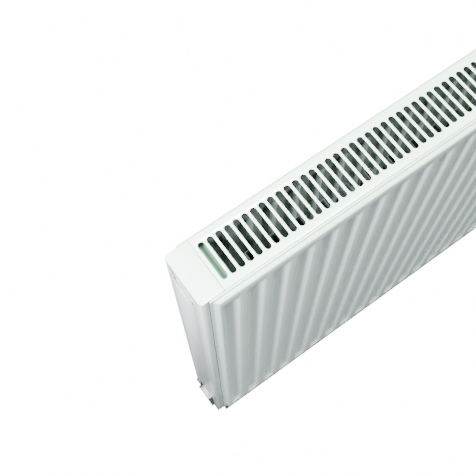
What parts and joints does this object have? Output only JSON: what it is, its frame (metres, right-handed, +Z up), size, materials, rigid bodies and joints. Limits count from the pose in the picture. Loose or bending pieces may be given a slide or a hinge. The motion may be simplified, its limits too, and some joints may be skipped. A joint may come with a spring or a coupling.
{
  "type": "panel radiator with valve",
  "caption": "Double-panel steel heating radiator with fluted faces, a slotted top grille, side covers, a built-in valve with a turning cap, a bleed vent and bottom connections.",
  "frame": {"origin": "centre of the footprint, on the plane the panels' bottom edges stand on", "axes": "+X along the radiator from the valve end to the vent end, -Y towards the room, +Z up"},
  "size_m": [0.612, 0.088, 0.6],
  "materials": {
    "brass": "satin",
    "cap_plastic": "satin",
    "nozzle_plastic": "satin",
    "panel_paint": "gloss",
    "plug_paint": "gloss",
    "rubber": "matte",
    "steel": "satin"
  },
  "bodies": {
    "radiator": {"front_outer_sheet": "panel_paint", "front_inner_sheet": "panel_paint", "rear_inner_sheet": "panel_paint", "rear_outer_sheet": "panel_paint", "front_convector": "panel_paint", "valve_tee": "panel_paint", "return_tee": "panel_paint", "vent_tee": "panel_paint", "drain_tee": "panel_paint", "valve_cage": "brass", "valve_seal": "rubber", "valve_body": "brass", "vent_seal": "rubber", "vent_plug": "brass", "left_plug_seal": "rubber", "left_bottom_plug": "plug_paint", "right_plug_seal": "rubber", "right_bottom_plug": "plug_paint", "supply_riser": "panel_paint", "return_pipe": "panel_paint", "supply_nipple": "panel_paint", "return_nipple": "panel_paint", "upper_wall_lugs": "panel_paint", "lower_wall_lugs": "panel_paint"},
    "grille": {"top_grille": "panel_paint", "grille_clips": "steel"},
    "left_cover": {"left_side_cover": "panel_paint", "left_cover_clips": "steel"},
    "right_cover": {"right_side_cover": "panel_paint", "right_cover_clips": "steel"},
    "valve_cap": {"valve_cap": "cap_plastic"},
    "valve_stem": {"valve_spindle": "steel", "valve_disc": "rubber"},
    "bleed_screw": {"bleed_screw": "brass"},
    "vent_nozzle": {"vent_nozzle": "nozzle_plastic"}
  },
  "joints": [
    {"name": "grille_lift", "type": "slide", "parent": "radiator", "child": "grille", "axis": [0, 0, 1], "range_m": [0, 0.06]},
    {"name": "left_cover_pull", "type": "slide", "parent": "radiator", "child": "left_cover", "axis": [-1, 0, 0], "range_m": [0, 0.08]},
    {"name": "right_cover_pull", "type": "slide", "parent": "radiator", "child": "right_cover", "axis": [1, 0, 0], "range_m": [0, 0.08]},
    {"name": "valve_cap_turn", "type": "hinge", "parent": "radiator", "child": "valve_cap", "pos_m": [-0.262, -0.004, 0.569], "axis": [1, 0, 0], "range_deg": [0, 540]},
    {"name": "valve_stem_slide", "type": "slide", "parent": "radiator", "child": "valve_stem", "axis": [1, 0, 0], "range_m": [0, 0.0023]},
    {"name": "bleed_screw_turn", "type": "hinge", "parent": "radiator", "child": "bleed_screw", "pos_m": [0.262, -0.004, 0.569], "axis": [1, 0, 0], "range_deg": [0, 360]},
    {"name": "vent_nozzle_swivel", "type": "hinge", "parent": "radiator", "child": "vent_nozzle", "pos_m": [0.262, -0.004, 0.569], "axis": [1, 0, 0], "continuous": true}
  ],
  "couplings": [
    {"joint": "valve_stem_slide", "follows": "valve_cap_turn", "m_per_rad": 0.00023873}
  ]
}
